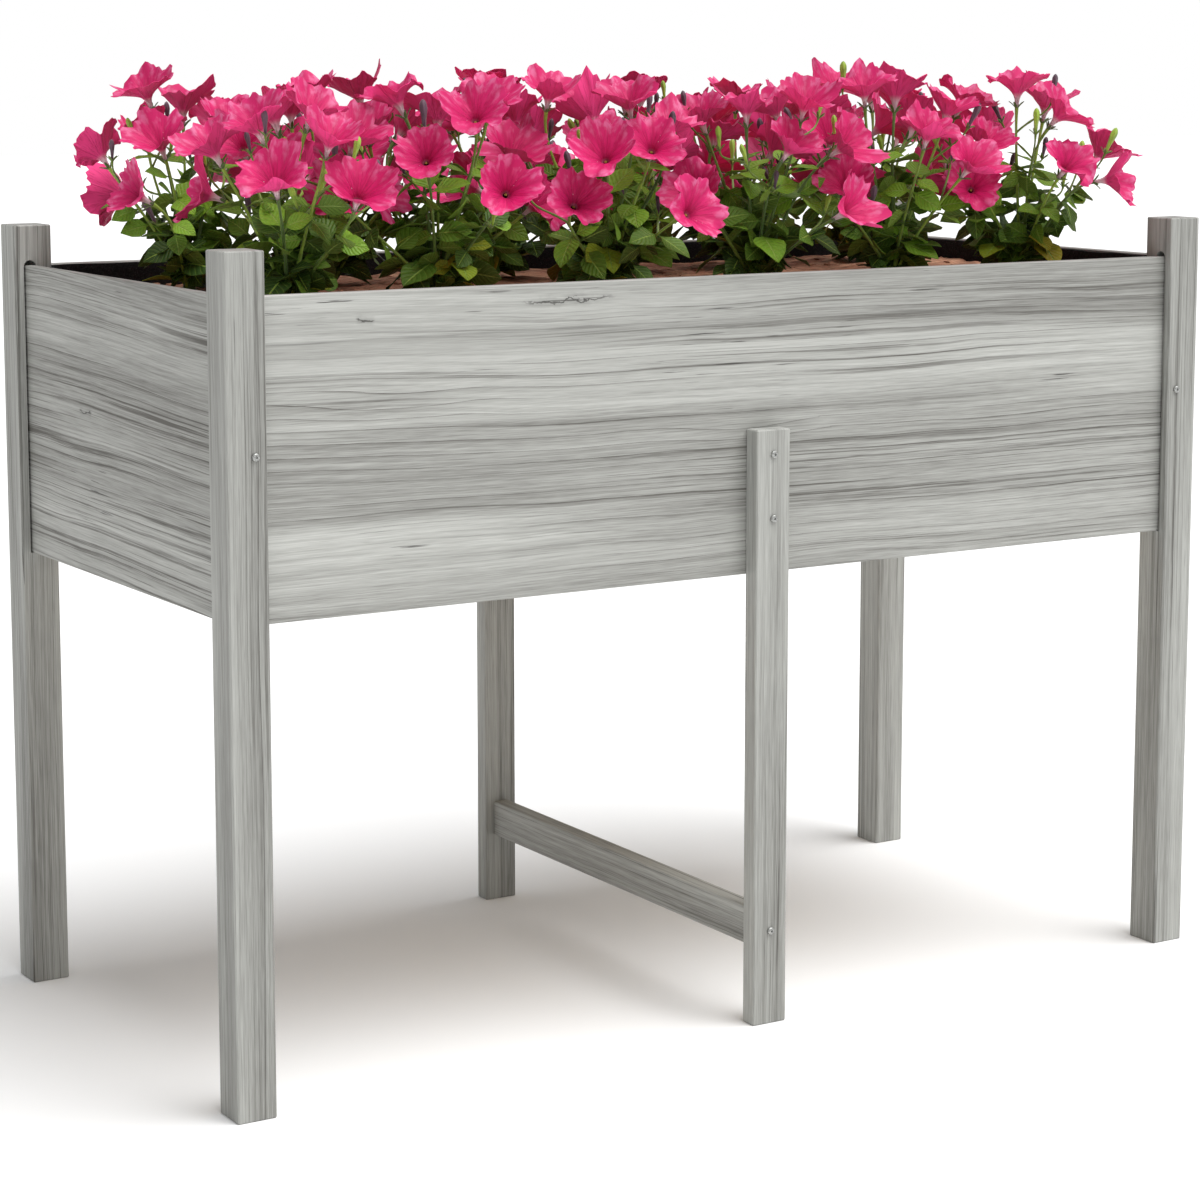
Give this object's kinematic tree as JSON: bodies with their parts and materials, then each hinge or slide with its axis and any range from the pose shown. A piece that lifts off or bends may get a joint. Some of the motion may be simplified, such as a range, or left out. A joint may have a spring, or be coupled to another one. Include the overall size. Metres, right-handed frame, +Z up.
{
  "type": "planted raised bed",
  "caption": "Elevated wooden planter box on legs with a low stretcher, felt-lined and filled with soil and flowering petunia plants.",
  "frame": {"origin": "on the ground, under the middle of the box", "axes": "+X along the box to its right end, +Y from the front to the back, +Z up"},
  "size_m": [1.25, 0.6254, 1.0511],
  "materials": {
    "wood": "matte, light grey stain over a dark streaked grain",
    "floor_wood": "matte, bare sawn wood",
    "steel": "satin, zinc plated",
    "felt": "matte black felt",
    "soil": "matte, loose red-brown potting soil",
    "petal": "satin, hot pink petals with darker veins",
    "leaf": "satin, green leaves, stems and buds"
  },
  "bodies": {
    "root": {"board_back": "wood", "board_front": "wood", "board_left": "wood", "board_right": "wood", "cleat_back": "floor_wood", "cleat_front": "floor_wood", "floor_board_1": "floor_wood", "floor_board_2": "floor_wood", "floor_board_3": "floor_wood", "floor_board_4": "floor_wood", "floor_board_5": "floor_wood", "floor_board_6": "floor_wood", "floor_board_7": "floor_wood", "leg_back_centre": "wood", "leg_back_left": "wood", "leg_back_right": "wood", "leg_front_centre": "wood", "leg_front_left": "wood", "leg_front_right": "wood", "liner": "felt", "petunia_01": "petal", "petunia_02": "petal", "petunia_03": "petal", "petunia_04": "petal", "petunia_05": "petal", "petunia_06": "petal", "petunia_07": "petal", "petunia_08": "petal", "petunia_09": "petal", "petunia_10": "petal", "petunia_11": "petal", "petunia_12": "petal", "screw_back_centre_lower": "steel", "screw_back_centre_upper": "steel", "screw_back_left": "steel", "screw_back_right": "steel", "screw_back_stretcher": "steel", "screw_front_centre_lower": "steel", "screw_front_centre_upper": "steel", "screw_front_left": "steel", "screw_front_right": "steel", "screw_front_stretcher": "steel", "soil": "soil", "stretcher": "wood"}
  },
  "joints": []
}
